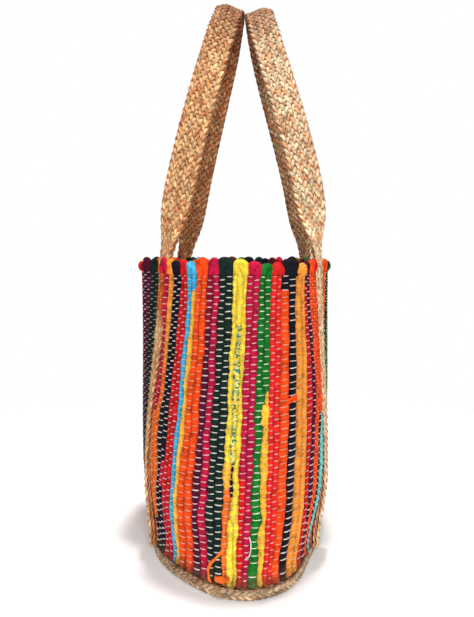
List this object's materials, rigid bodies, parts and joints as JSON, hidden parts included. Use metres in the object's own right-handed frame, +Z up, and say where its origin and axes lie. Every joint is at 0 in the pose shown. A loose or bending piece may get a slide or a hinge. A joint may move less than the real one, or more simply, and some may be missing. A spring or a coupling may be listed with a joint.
{
  "type": "jute beach bag",
  "caption": "Open beach bag of striped rag weave on an oval mat of braided jute, with two tall handles of flat jute braid sewn down its long sides.",
  "frame": {"origin": "middle of the underside of the jute mat, on the surface the bag stands on", "axes": "+Z up, Y along the bag's long axis with the pictured end towards -Y, X across its narrow side"},
  "size_m": [0.2326, 0.4506, 0.6562],
  "materials": {
    "rag_weave": "rag strips in many colours, bound by white cotton warp threads",
    "jute_mat": "braided jute, sewn in an oval coil",
    "jute_braid": "flat braid of many jute strands, slightly hairy"
  },
  "bodies": {
    "root": {"woven_body": "rag_weave", "jute_base": "jute_mat", "left_handle_strap": "jute_braid", "right_handle_strap": "jute_braid"}
  },
  "joints": []
}
